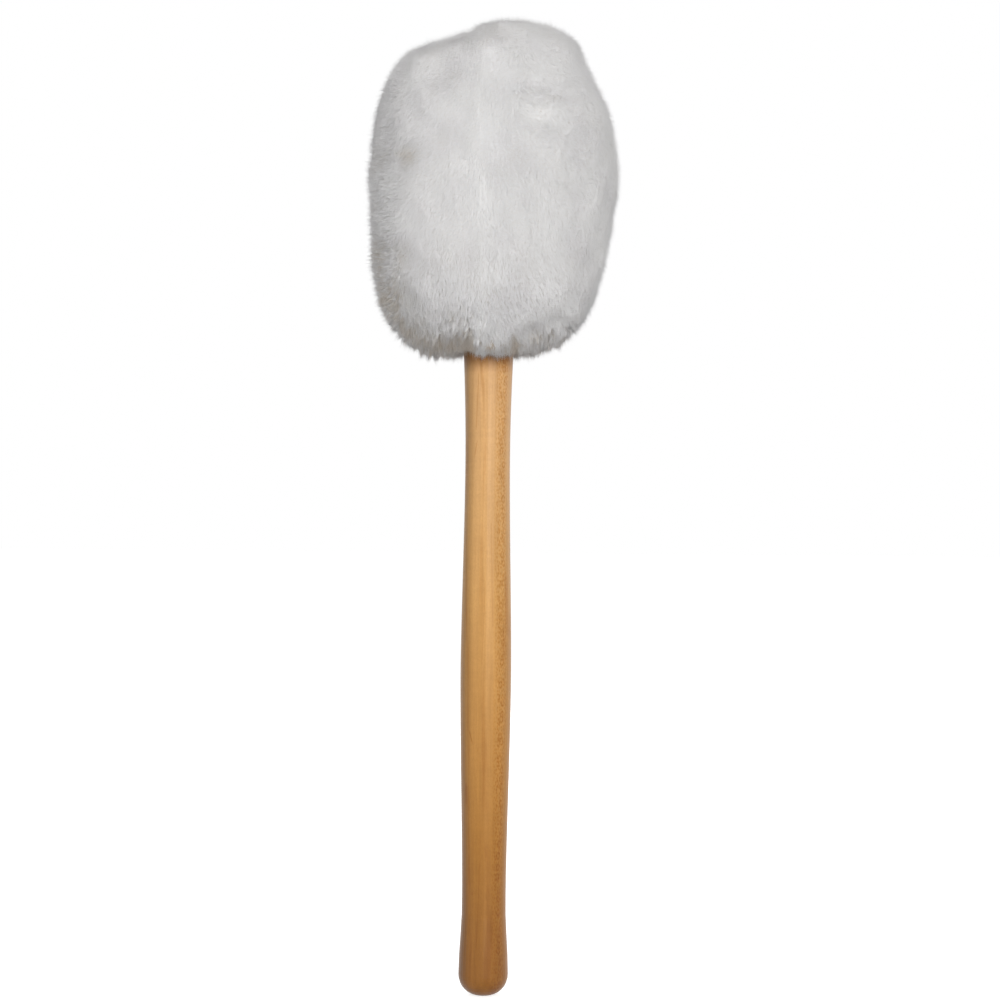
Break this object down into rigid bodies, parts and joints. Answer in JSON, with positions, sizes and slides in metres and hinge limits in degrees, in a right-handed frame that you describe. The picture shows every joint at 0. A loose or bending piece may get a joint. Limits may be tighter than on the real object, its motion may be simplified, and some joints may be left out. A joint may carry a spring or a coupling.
{
  "type": "percussion mallet",
  "caption": "Soft mallet for gongs and bass drums: a turned maple handle with a swelling grip and a long head in white plush fur.",
  "frame": {"origin": "centre of the small flat end of the handle's domed butt", "axes": "+Z along the handle towards the head, +X to the right and -Y towards the viewer of the picture, where the cover's front seam shows left of the middle"},
  "size_m": [0.1027, 0.0956, 0.3973],
  "materials": {
    "lacquered_maple": "satin clear lacquer over turned maple, darker towards the butt",
    "core_hardwood": "plain turned hardwood",
    "zinc_steel": "bright zinc plating",
    "wool_felt": "dense pressed wool felt",
    "wool_batting": "soft needled wool batting",
    "white_plush": "long soft white pile on a knitted backing",
    "cotton_cord": "undyed twisted cotton"
  },
  "bodies": {
    "root": {"handle": "lacquered_maple", "core_block": "core_hardwood", "core_washer": "zinc_steel", "core_screw": "zinc_steel", "felt_inner_wrap": "wool_felt", "felt_outer_wrap": "wool_felt", "felt_top_disc": "wool_felt", "felt_bottom_disc": "wool_felt", "padding_sock": "wool_batting", "neck_cord": "cotton_cord", "fur_panel_left": "white_plush", "fur_panel_right": "white_plush"}
  },
  "joints": []
}
